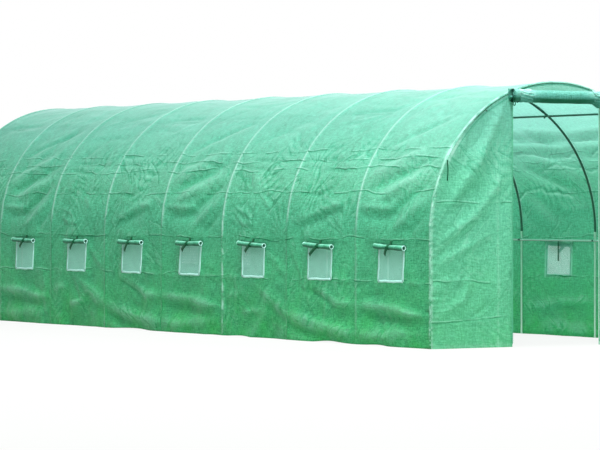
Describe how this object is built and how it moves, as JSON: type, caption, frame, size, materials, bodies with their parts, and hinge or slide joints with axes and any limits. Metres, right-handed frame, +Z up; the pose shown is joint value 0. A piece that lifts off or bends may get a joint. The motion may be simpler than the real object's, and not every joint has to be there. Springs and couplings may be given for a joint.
{
  "type": "polytunnel greenhouse",
  "caption": "Walk-in polytunnel greenhouse: round tube hoops and purlins under a green woven cover with netted roll-up windows along both sides and a roll-up door at one end.",
  "frame": {"origin": "centre of the footprint, at ground level", "axes": "+Y along the tunnel from the door end to the closed end, +Z up, +X to the right when seen from the door end"},
  "size_m": [2.4048, 8.1422, 2.0038],
  "materials": {
    "tube": "galvanised, satin",
    "sheet": "woven polyethylene, translucent, crinkled",
    "panel": "woven polyethylene, translucent",
    "roll": "rolled woven polyethylene",
    "binding": "sewn tape",
    "net": "fine mesh",
    "tie": "woven tape"
  },
  "bodies": {
    "root": {"left_legs": "tube", "right_legs": "tube", "left_bends": "tube", "right_bends": "tube", "crown_sleeves": "tube", "crowns": "tube", "left_side_purlin": "tube", "right_side_purlin": "tube", "left_upper_purlin": "tube", "right_upper_purlin": "tube", "front_left_post": "tube", "front_right_post": "tube", "rear_left_post": "tube", "rear_right_post": "tube", "left_wall_sheet": "sheet", "left_eave_sheet": "sheet", "left_haunch_sheet": "sheet", "left_crown_sheet": "sheet", "right_crown_sheet": "sheet", "right_haunch_sheet": "sheet", "right_eave_sheet": "sheet", "right_wall_sheet": "sheet", "front_left_panel": "panel", "front_right_panel": "panel", "front_head_panel": "panel", "rear_panel": "panel", "door_roll": "roll", "door_ties": "tie", "left_window_nets": "net", "right_window_nets": "net", "left_window_bindings": "binding", "right_window_bindings": "binding", "left_window_rolls": "roll", "right_window_rolls": "roll", "left_window_ties": "tie", "right_window_ties": "tie"}
  },
  "joints": []
}
